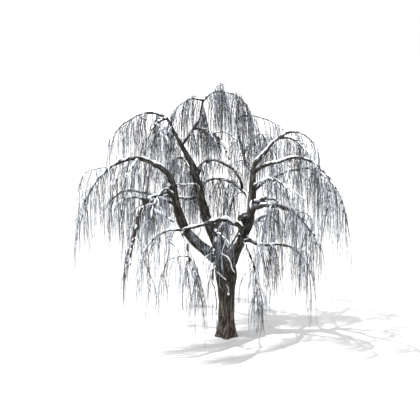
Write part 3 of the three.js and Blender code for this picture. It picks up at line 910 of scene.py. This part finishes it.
# The compass heading of a path at some of its places, or a given one where it hangs nearly straight
def headingAt(path, shares, fallback, around=0.02, straight=0.35):
    step = pointAt(path, shares + around) - pointAt(path, shares - around)
    upright = np.hypot(step[:, 0], step[:, 1]) < straight * np.linalg.norm(step, axis=1)
    return np.where(upright, fallback, np.degrees(np.arctan2(step[:, 1], step[:, 0])))


# Twigs that leave both sides of a path in turn and droop
def offshoots(path, shares, shape, rng, fallback, reach):
    count = len(shares)
    turn = np.where(np.arange(count) % 2, 1, -1) * between(rng, shape["turn"], count)
    heading = (headingAt(path, shares, fallback) + turn)[:, None]
    length = (between(rng, shape["length"], count) * reach)[:, None]
    lift = between(rng, shape["lift"], count)[:, None]
    phase = 360 * rng.random((count, 1))
    twigs = grow(pointAt(path, shares), heading, (lift, shape["droop"]), length, phase, shape["steps"],
                 gnarl=shape["gnarl"])
    return twigs, heading[:, 0], length[:, 0]


# Uneven places along the part of a carrier between two shares of its length
def spaced(rng, count, low, high):
    return low + (high - low) * (np.arange(count) + rng.random(count)) / max(count, 1)


kindNames = list(twigColours)
heaps = {(sector, kind): Heap() for sector in sectors for kind in kindNames}
branchHeaps = {sector: Heap() for sector in sectors}
snowLines = Heap()
sectorOf = {name: sector for sector, carriers in sectors.items() for c in carriers for name in boughsOn[c]}
firstOn = {bough: name for name, bough in reversed(boughOf.items())}

lineShape = dict(first=0.15, run=(0.15, 0.7), bare=(0.01, 0.09), step=0.07, side=(-0.12, -0.4, 1),
                 sides=5, least=0.55, more=0.9, seat=0.55, lift=0.5, wide=0.6, ends=(0.06, 0.98))


# Uneven runs of snow on the upper side of a branch, with bare places between them
def addSnowLine(path, sizes, depth, rng):
    travel = travelAlong(path)
    start = lineShape["first"] * travel[-1] * rng.random()
    while start < travel[-1] - lineShape["run"][0]:
        end = min(start + float(between(rng, lineShape["run"], 1)[0]), travel[-1])
        places = np.linspace(start, end, max(int((end - start) / lineShape["step"]), 3) + 1)
        ridge = spotsAt(places, travel, path)
        limb = np.interp(places, travel, sizes)
        uneven = lineShape["least"] + lineShape["more"] * rng.random(len(places))
        swell = rounded(*lineShape["ends"], len(places), 0.5) * uneven
        lift = lineShape["seat"] * limb + lineShape["lift"] * depth * swell
        raised = ridge + np.array(lineShape["side"]) * lift[:, None]
        width = (lineShape["wide"] * limb + lineShape["wide"] * depth) * swell
        snowLines.add(raised[None], width[None], lineShape["sides"])
        start = end + float(between(rng, lineShape["bare"], 1)[0])


# Whips from places along a path, with their side shoots. Most have their spray's colour.
def addWhips(path, count, heading, drop, sector, kind, foremost, keep, rng):
    start = pointAt(path, between(rng, whipShape["onSpray"], count))
    facing = (heading + whipShape["spread"] * (rng.random(count) - 0.5))[:, None]
    length = (drop * between(rng, whipShape["length"], count))[:, None]
    thin, thickest = whipShape["radius"]
    thick = thin + (thickest - thin) * rng.random(count) ** 2
    whips = grow(start, facing, whipShape["pitch"], length, 360 * rng.random((count, 1)),
                 whipShape["steps"], whipShape["bend"], between(rng, whipShape["wave"], count)[:, None])
    whips, long = endedAbove(whips, foremost, keep, rng)
    kept = clearOnes(whips, foremost, 1, rng)
    kept = kept[long[kept]]
    if not len(kept):
        return
    kinds = np.where(rng.random(count) < whipShape["own"], kind, rng.integers(0, len(kindNames), count))
    taper = np.linspace(1, whipShape["tip"], whipShape["steps"] + 1)
    for k, kindName in enumerate(kindNames):
        chosen = kept[kinds[kept] == k]
        heaps[sector, kindName].add(whips[chosen], thick[chosen, None] * taper, whipShape["sides"])
    parents = np.repeat(kept, rng.poisson(shootShape["perWhip"], len(kept)))
    if not len(parents):
        return
    places = between(rng, shootShape["onWhip"], len(parents)) * whipShape["steps"]
    foot = pointsOn(whips, parents, places)
    facing = 360 * rng.random((len(parents), 1))
    length = between(rng, shootShape["length"], (len(parents), 1))
    shoots = grow(foot, facing, shootShape["pitch"], length, 360 * rng.random((len(parents), 1)),
                  shootShape["steps"], shootShape["bend"])
    good = clearOnes(shoots, foremost, keep, rng)
    taper = np.linspace(1, shootShape["tip"], shootShape["steps"] + 1)
    slim = shootShape["share"] * thick[parents][good, None] * taper
    heaps[sector, kindNames[kind]].add(shoots[good], slim, whipShape["sides"])


# Sprays along a carrier, each with its whips. Where "own" holds, only those nearest to the curtain's
# own stem are kept.
def addSprays(path, sizes, name, rng, where, foremost, share=1, own=False):
    rule = curtains[name]
    full = math.sqrt(manner[name].get("full", 1) * share)
    drop = rule["drop"] * manner[name].get("hang", 1)
    sector = sectorOf[boughOf[name]]
    low, high, reach = where
    count = int(pathLength(path) * (high - low) * sprayShape["perMetre"] * full + rng.random())
    shares = spaced(rng, count, low, high)
    if not count:
        return
    sprays, headings, lengths = offshoots(path, shares, sprayShape, rng, firstHeading(rule), reach)
    kinds = rng.choice(len(kindNames), count, p=sprayShape["mix"])
    thickest = sprayShape["share"] * valueAt(sizes, shares)
    thick = np.minimum(between(rng, sprayShape["radius"], count), thickest)
    keep = manner[name].get("keep", frontShape["keep"])
    kept = clearOnes(sprays, foremost, keep, rng)
    if own:
        kept = kept[(ownerOf(sprays[kept, :3]) == stemNames.index(name)).all(1)]
    for i in kept:
        heap = heaps[sector, kindNames[kinds[i]]]
        width = np.linspace(thick[i], sprayShape["tip"] * thick[i], sprayShape["steps"] + 1)
        heap.add(sprays[i][None], width[None], sprayShape["sides"])
        if rng.random() < sprayShape["snowy"]:
            addSnowLine(sprays[i], width, sprayShape["snow"], rng)
        whips = int(lengths[i] * whipShape["perMetre"] * full * (0.5 + rng.random()))
        if whips:
            addWhips(sprays[i], whips, headings[i], drop, sector, kinds[i], foremost, keep, rng)


# Branches along a carrier, each with its sprays
def addBranches(path, sizes, name, rng, where, foremost, share):
    low, high = where
    count = int(pathLength(path) * (high - low) * branchShape["perMetre"] + rng.random())
    shares = spaced(rng, count, low, high)
    if not count:
        return
    reach = manner[name].get("wide", 1) * (branchShape["reach"] - branchShape["shorter"] * shares)
    branches, *_ = offshoots(path, shares, branchShape, rng, firstHeading(curtains[name]), reach)
    for i in clearOnes(branches, foremost, frontShape["keep"], rng):
        thick = branchShape["share"] * valueAt(sizes, shares[i])
        thick = np.clip(thick, branchShape["thinnest"], branchShape["thickest"])
        branch = smoothLine(branches[i], branchShape["parts"])
        width = np.linspace(thick, branchShape["tip"] * thick, len(branch))
        branchHeaps[sectorOf[boughOf[name]]].add(branch[None], width[None], branchShape["sides"])
        if rng.random() < branchShape["snowy"]:
            addSnowLine(branch, width, branchShape["snow"], rng)
        addSprays(branch, width, name, rng, sprayShape["onBranch"], foremost, share)


# A stem with what hangs from it. The first curtain on a bough also fills the bough before it.
def addCurtain(index, name):
    rng = np.random.default_rng(growth["twigSeed"] + growth["seedStep"] * index)
    bough, swell = boughOf[name], manner[name].get("stem", branchShape["stemSwell"])
    stem, sizes = curves[name], curveRadii[name]
    foremost = foremostBut(bough)
    branchHeaps[sectorOf[bough]].add(stem[None], sizes[None] * swell, stemSides)
    addSnowLine(stem, sizes, manner[name].get("snow", branchShape["stemSnow"]), rng)
    addSprays(stem, sizes, name, rng, sprayShape["onStem"], foremost, own=True)
    along = manner[name].get("along", 1)
    if firstOn[bough] == name:
        addSprays(curves[bough], curveRadii[bough], name, rng, sprayShape["onBough"], foremost, along)
    addBranches(stem, sizes, name, rng, branchShape["onStem"], foremost, 1)
    if firstOn[bough] == name:
        addBranches(curves[bough], curveRadii[bough], name, rng, branchShape["onBough"], foremost, along)


# Small boughs that show one by one in the photograph. Each leaves its carrier at a share of its
# length and carries snow of the given depth. It has the whips of the curtain on its carrier, or of
# the one that "like" names.
branchlets = {
    "low_left_inner": dict(on="low_left_bough", at=0.85, heading=(336, 344), pitch=(-62, -14), length=1.6,
                           radius=(0.055, 0.036), snow=0.1, full=0.6),
    "left_stub": dict(on="centre_limb", at=0.72, heading=(236, 214), pitch=(62, -34), length=2.6,
                      radius=(0.04, 0.022), snow=0.05, like="front_left_high_curtain", full=0.3),
    "mid_right_upper": dict(on="right_limb", at=0.66, heading=(312, 322), pitch=(46, -24), length=1.75,
                            radius=(0.1, 0.05), snow=0.03, like="mid_right_curtain", full=0.25),
    "low_right_upper": dict(on="right_limb", at=0.37, heading=(331, 290), pitch=(-6, -64), length=1.8,
                            radius=(0.038, 0.018), snow=0.04, like="low_right_curtain", full=0.6),
    "front_drop": dict(on="front_bough", at=0.9, heading=(250, 200), pitch=(-50, -94), length=1.3,
                       radius=(0.038, 0.026), snow=0.07, full=0.2),
    "front_trail": dict(on="front_bough", at=0.93, heading=(200, 190), pitch=(-78, -92), length=4.4,
                        radius=(0.038, 0.022), snow=0.008, full=0.25),
    "behind_hanging": dict(on="behind_bough", at=0.28, heading=(200, 190), pitch=(4, -86), length=1.2,
                           radius=(0.03, 0.014), snow=0.05, full=1.2),
    "behind_middle": dict(on="behind_bough", at=0.55, heading=(240, 220), pitch=(4, -86), length=1.2,
                          radius=(0.03, 0.014), snow=0.05, full=1.2),
    "left_hanging": dict(on="left_bough", at=0.93, heading=(196, 206), pitch=(-36, -64), length=1.5,
                         radius=(0.03, 0.014), snow=0.07, full=1.5),
    "left_under": dict(on="left_bough", at=0.84, heading=(262, 200), pitch=(-10, -66), length=1.2,
                       radius=(0.03, 0.014), snow=0.06, full=1.3),
    "left_low_branch": dict(on="low_left_curtain", at=0.4, heading=(340, 350), pitch=(-68, -84), length=4.0,
                            radius=(0.026, 0.013), snow=0.06, full=0.3),
    "front_left_branch": dict(on="front_left_curtain", at=0.3, heading=(20, 0), pitch=(-50, -86), length=2.2,
                              radius=(0.024, 0.012), snow=0.05, full=0.4),
    "upper_left_fork": dict(on="upper_left_bough", at=0.8, heading=(206, 330), pitch=(-8, -74), length=1.3,
                            radius=(0.03, 0.014), snow=0.08, like="upper_front_curtain", full=0.5),
    "crotch_shoot": dict(on="front_bough", at=0.12, heading=(206, 184), pitch=(-60, -48), length=1.25,
                         radius=(0.034, 0.02), snow=0.05, full=0.1),
    "right_hanging": dict(on="right_bough", at=0.8, heading=(255, 190), pitch=(-80, -58), length=1.9,
                          radius=(0.034, 0.018), snow=0.04, full=0.6),
    "right_outer": dict(on="right_curtain", at=0.55, heading=180, pitch=(-68, -88), length=3.0,
                        radius=(0.028, 0.014), snow=0.032, full=0.8),
    "front_right_side": dict(on="front_right_curtain", at=0.02, heading=180, pitch=(4, -96), length=1.2,
                             radius=(0.024, 0.01), snow=0.022, full=0.3),
    "inner_dome": dict(on="inner_top_bough", at=0.8, heading=(353, 350), pitch=(14, -50), length=1.7,
                       radius=(0.028, 0.014), snow=0.034, full=0.6),
    "upper_left_side": dict(on="upper_left_bough", at=0.78, heading=(196, 206), pitch=(12, -78), length=1.7,
                            radius=(0.036, 0.016), snow=0.09, like="upper_front_curtain", full=0.8),
    "right_inner": dict(on="right_bough", at=0.12, heading=(333, 342), pitch=(30, -56), length=1.4,
                        radius=(0.034, 0.018), snow=0.042, full=0.6),
    "left_tip": dict(on="left_curtain", at=0.3, heading=(188, 200), pitch=(26, -66), length=1.5,
                     radius=(0.03, 0.014), snow=0.05, full=1.8),
    "front_low": dict(on="front_drop_curtain", at=0.45, heading=(200, 206), pitch=(30, -125), length=2.2,
                      radius=(0.028, 0.012), snow=0.04, full=0.6),
    "fork_arch": dict(on="top_bough", at=0.12, heading=(176, 182), pitch=(40, -88), length=1.0,
                      radius=(0.026, 0.012), snow=0.04, like="top_left_curtain", full=2.0),
    "upper_right_drop": dict(on="upper_right_curtain", at=0.3, heading=(340, 230), pitch=(-46, -84),
                             length=1.4, radius=(0.03, 0.016), snow=0.042, full=0.6),
    "top_tuft": dict(on="top_curtain", at=0.3, heading=0, pitch=(150, -90), length=0.8,
                     radius=(0.024, 0.012), snow=0.075, like="top_left_curtain", full=1.2),
    "top_tuft_front": dict(on="top_curtain", at=0.26, heading=(300, 340), pitch=(100, -80), length=0.8,
                           radius=(0.02, 0.01), snow=0.06, like="top_left_curtain", full=1.2),
}
branchletShape = dict(lineSeed=700, twigSeed=900, steps=8, parts=4, gnarl=18, crooked=3, snowShare=0.8)


def curtainLike(rule):
    return rule.get("like", firstOn.get(rule["on"], rule["on"]))


def branchletWood(index, name):
    rule = branchlets[name]
    phase = 360 * np.random.default_rng(branchletShape["lineSeed"] + index).random()
    line = grow(pointAt(curves[rule["on"]], rule["at"]), rule["heading"], rule["pitch"], rule["length"],
                phase, branchletShape["steps"], gnarl=branchletShape["gnarl"])
    sizes = np.linspace(*rule["radius"], branchletShape["steps"] * branchletShape["parts"] + 1)
    path = kinked(smoothLine(line, branchletShape["parts"]), branchletShape["crooked"] * sizes.mean())
    return path, sizes * knotting(path)


# The front map of one limb, filled by discs that stand along it
def frontMap(path, sizes, lowest):
    travel = travelAlong(path)
    places = np.arange(0, travel[-1], frontShape["step"])
    middle = spotsAt(places, travel, path)
    reach = np.maximum(np.interp(places, travel, sizes), frontShape["thin"])
    wide = np.linspace(-1, 1, frontShape["spread"])
    disc = np.stack(np.broadcast_arrays(wide[:, None], 0, wide[None]), -1).reshape(-1, 3)
    disc = disc[np.linalg.norm(disc, axis=1) <= 1]
    spots = (middle[:, None] + reach[:, None, None] * disc).reshape(-1, 3)
    cells, forward = frontPlace(spots[spots[:, 2] > lowest])
    filled = np.full(frontCells, unseen)
    np.maximum.at(filled, (cells[:, 0], cells[:, 1]), forward)
    return filled


branchletWoods = {name: branchletWood(index, name) for index, name in enumerate(branchlets)}
frontMaps = {name: frontMap(curves[name], curveRadii[name], frontShape["trunkFrom"] if name == "trunk" else 0)
             for name in frontShape["limbs"]}
frontMaps |= {name: frontMap(*branchletWoods[name], 0) for name in frontShape["branchlets"]}


# The front map of all those limbs together, but for the ones that the twigs hang from
def foremostBut(*own):
    return np.maximum.reduce([front for name, front in frontMaps.items() if name not in own])


def addBranchlet(index, name):
    rule = branchlets[name]
    rng = np.random.default_rng(branchletShape["twigSeed"] + index)
    path, sizes = branchletWoods[name]
    like, foremost = curtainLike(rule), foremostBut(rule["on"], name)
    branchHeaps[sectorOf[boughOf[like]]].add(path[None], sizes[None], stemSides)
    addSnowLine(path, sizes, branchletShape["snowShare"] * rule["snow"], rng)
    addSprays(path, sizes, like, rng, sprayShape["onBranchlet"], foremost, rule["full"])


for index, name in enumerate(stemNames):
    addCurtain(index, name)
for index, name in enumerate(branchlets):
    addBranchlet(index, name)
print("curtains grown")

for (sector, kind), heap in heaps.items():
    piece = heap.piece(f"{sector}_{kind}_twigs")
    piece.data.materials.append(twigColours[kind])
    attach(piece, "root")
    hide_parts(*[n for n in stemNames if sectorOf[boughOf[n]] == sector])
    print(piece.name, triangleCount(piece), "triangles")
for sector, heap in branchHeaps.items():
    piece = heap.piece(f"{sector}_branches")
    piece.data.materials.append(twigColours["dark"])
    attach(piece, "root")
    print(piece.name, triangleCount(piece), "triangles")

# Snow that clings to the front of the trunk and limbs, in trails: places across and up, as the
# photograph's side shows them, and the trail's thickness
trunkSnow = {
    "left_trail": dict(size=0.035, path=((-0.45, 3.28), (-0.32, 3.18), (-0.2, 3.05), (0, 2.88))),
    "fork_trail": dict(size=0.042, path=((-0.25, 4.18), (-0.1, 4.1), (0.05, 4.02), (0.18, 3.83), (0.27, 3.43),
                                         (0.42, 3.2))),
    "thin_trail": dict(size=0.018, path=((0, 2.67), (0.09, 2.47), (0.13, 2.27))),
    "clump": dict(size=0.045, path=((0.08, 2.26), (0.12, 2.1))),
    "shoulder": dict(size=0.05, path=((1.16, 6.77), (1.12, 6.58), (1.13, 6.34))),
    "crotch": dict(size=0.04, path=((-0.16, 5.12), (0, 5.02), (0.17, 5.02))),
}
trailShape = dict(steps=18, away=20, rough=12, fewest=4, sides=8, least=0.3, more=1.2)
woodFront = BVHTree.FromObject(wood, bpy.context.evaluated_depsgraph_get())
inward = Vector((0, tiltCos, -tiltSin))


# The spots of the bark that lie behind places across and up, from the photograph's side
def spotsOnWood(places):
    starts = [Vector((across, 0, up)) - trailShape["away"] * inward for across, up in places]
    spots = [woodFront.ray_cast(start, inward)[0] for start in starts]
    return np.array([spot for spot in spots if spot is not None])


for rule in trunkSnow.values():
    corners = np.array(rule["path"])
    shares = np.linspace(0, len(corners) - 1, trailShape["steps"])
    trail = spotsOnWood(spotsAt(shares, np.arange(len(corners)), corners))
    if len(trail) < trailShape["fewest"]:
        continue
    uneven = trailShape["least"] + trailShape["more"] * noiseAt(trail * trailShape["rough"])
    swell = rounded(0.06, 0.97, len(trail), 0.4) * uneven
    snowLines.add(trail[None], (rule["size"] * swell)[None], trailShape["sides"])

twigSnow = snowLines.piece("twig_snow")
twigSnow.data.materials.append(snow)
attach(twigSnow, "root")
print(twigSnow.name, triangleCount(twigSnow), "triangles")

# Snow: ridges along the boughs' upper sides, from one share of a bough's length to another, and
# their depth
snowyBoughs = {
    "left_bough": (0.4, 0.99, 0.09),
    "low_left_bough": (0.1, 0.97, 0.05),
    "front_bough": (0.12, 0.99, 0.11),
    "front_arm": (0.02, 0.98, 0.12),
    "upper_right_bough": (0.2, 0.97, 0.05),
    "mid_right_bough": (0.3, 0.95, 0.015),
    "right_bough": (0.05, 0.95, 0.045),
    "top_bough": (0.3, 0.98, 0.045),
    "upper_left_bough": (0.5, 0.98, 0.045),
    "low_right_bough": (0.05, 0.95, 0.05),
    "behind_bough": (0.1, 0.9, 0.05),
    "middle_bough": (0.5, 0.95, 0.05),
    "back_left_bough": (0.2, 0.95, 0.02),
    "back_bough": (0.2, 0.95, 0.05),
    "back_right_bough": (0.2, 0.95, 0.05),
    "low_back_bough": (0.2, 0.95, 0.05),
    "left_back_bough": (0.2, 0.95, 0.05),
    "front_left_high_bough": (0.2, 0.95, 0.05),
    "front_right_high_bough": (0.1, 0.98, 0.08),
    "centre_back_bough": (0.05, 0.4, 0.05),
    "high_back_bough": (0.2, 0.95, 0.05),
}
snowShape = dict(step=0.035, fewest=8, sides=10, width=0.92, seat=0.72, slip=0.4, voxel=0.016, smoothing=2)


# How high the snow heaps at each point of a ridge, uneven at three sizes, and how far it slips aside
def snowHeap(ridge):
    lumps = noiseAt(ridge * 9 + 4)
    patches = np.clip((noiseAt(ridge * 3.1 + 17) - 0.27) * 5, 0.15, 1)
    heap = rounded(0.03, 0.97, len(ridge), 0.5) * patches * (0.3 + 0.8 * lumps + 0.6 * noiseAt(ridge * 17))
    return heap, (lumps - 0.5) * snowShape["slip"]


def snowRidge(name, first, last, depth):
    curve, sides, seat = curves[name], snowShape["sides"], snowShape["seat"]
    count = max(int(pathLength(curve) * (last - first) / snowShape["step"]), snowShape["fewest"])
    shares = np.linspace(first, last, count)
    ridge = pointAt(curve, shares)
    limb = valueAt(curveRadii[name], shares)
    along = unit(np.gradient(ridge, axis=0))
    side = unit(np.cross(along, [0, 0, 1]))
    over = np.cross(side, along)
    heap, slip = snowHeap(ridge)
    middle = ridge + over * (seat * limb)[:, None] + side * (slip * limb)[:, None]
    angle = (2 * np.pi * np.arange(sides) / sides)[:, None]
    wide = (snowShape["width"] * limb * np.minimum(heap, 1))[:, None, None]
    tall = ((1 - seat) * limb + depth * heap)[:, None, None]
    ring = middle[:, None] + side[:, None] * np.cos(angle) * wide + over[:, None] * np.sin(angle) * tall
    quads = np.roll(ringQuads(count, sides)[:, ::-1], 1, 1)  # turned round to face outwards
    here = np.arange(sides)
    caps = np.stack([here[::-1], (count - 1) * sides + here])
    return meshFromArrays(name + "_ridge", ring.reshape(-1, 3), [quads, caps])


# Lumps of snow in crotches and on knots
snowPads = {
    "left_knob": dict(on="left_bough", at=0.05, side=(196, 10), size=(0.11, 0.11, 0.1)),
    "middle_knob": dict(on="middle_bough", at=0.99, side=(190, 76), size=(0.09, 0.09, 0.2)),
    "behind_knob": dict(on="behind_bough", at=0.1, side=(250, 50), size=(0.08, 0.1, 0.24)),
    "right_crotch": dict(on="right_limb", at=0.6, side=(200, 20), size=(0.05, 0.06, 0.16)),
    "low_right_foot": dict(on="low_right_bough", at=0.1, side=(270, 60), size=(0.2, 0.1, 0.07)),
    "front_foot": dict(on="front_bough", at=0.06, side=(250, 40), size=(0.09, 0.09, 0.16)),
}
ridges = [snowRidge(name, *values) for name, values in snowyBoughs.items()]
boughSnow = joinPieces("bough_snow", ridges + [lump(**pad) for pad in snowPads.values()])
applyModifier(boughSnow, "REMESH", mode="VOXEL", voxel_size=snowShape["voxel"])
applyModifier(boughSnow, "SMOOTH", factor=0.5, iterations=snowShape["smoothing"])
coverIn(boughSnow, snow)
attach(boughSnow, "root")
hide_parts(*[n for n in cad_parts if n.endswith("_snow")])
print("snow:", len(boughSnow.data.polygons), "faces")

# Floor, light and camera
selectNone()
stageLook = dict(floorSize=400, floorColour=(0.76, 0.76, 0.76, 1), sky=1.0)
bpy.ops.mesh.primitive_plane_add(size=stageLook["floorSize"])
floor = bpy.context.object
floor.name = "floor"
floorMaterial = bpy.data.materials.new("paleFloor")
floorMaterial.use_nodes = True
floorShader = floorMaterial.node_tree.nodes["Principled BSDF"]
floorShader.inputs["Base Color"].default_value = stageLook["floorColour"]
floorShader.inputs["Roughness"].default_value = 1
floor.data.materials.append(floorMaterial)

world = bpy.data.worlds.new("paleSky")
bpy.context.scene.world = world
world.use_nodes = True
sky = world.node_tree.nodes["Background"]
sky.inputs["Color"].default_value = (1.0, 1.0, 1.0, 1)
sky.inputs["Strength"].default_value = stageLook["sky"]
light = dict(towards=(-2.15, -0.5, 3.9), strength=4.0, angle=0.9)
bpy.ops.object.light_add(type="SUN", location=(-10, -8, 16))
sun = bpy.context.object
sun.rotation_euler = Vector(light["towards"]).to_track_quat("Z", "Y").to_euler()
sun.data.energy = light["strength"]
sun.data.angle = math.radians(light["angle"])

view = dict(target=(-0.782, 0, 6.29), distance=34, elevation=12, metresPerPixel=0.0474, pixels=420,
            sensor=36, far=600)
bpy.ops.object.camera_add()
camera = bpy.context.object
camera.name = "camera"
elevation = math.radians(view["elevation"])
back = Vector((0, -math.cos(elevation), math.sin(elevation)))
camera.location = Vector(view["target"]) + view["distance"] * back
camera.rotation_euler = back.to_track_quat("Z", "Y").to_euler()
camera.data.sensor_width = view["sensor"]
camera.data.lens = view["sensor"] * view["distance"] / (view["metresPerPixel"] * view["pixels"])
camera.data.clip_end = view["far"]
bpy.context.scene.camera = camera
bpy.context.scene.view_settings.view_transform = "Standard"
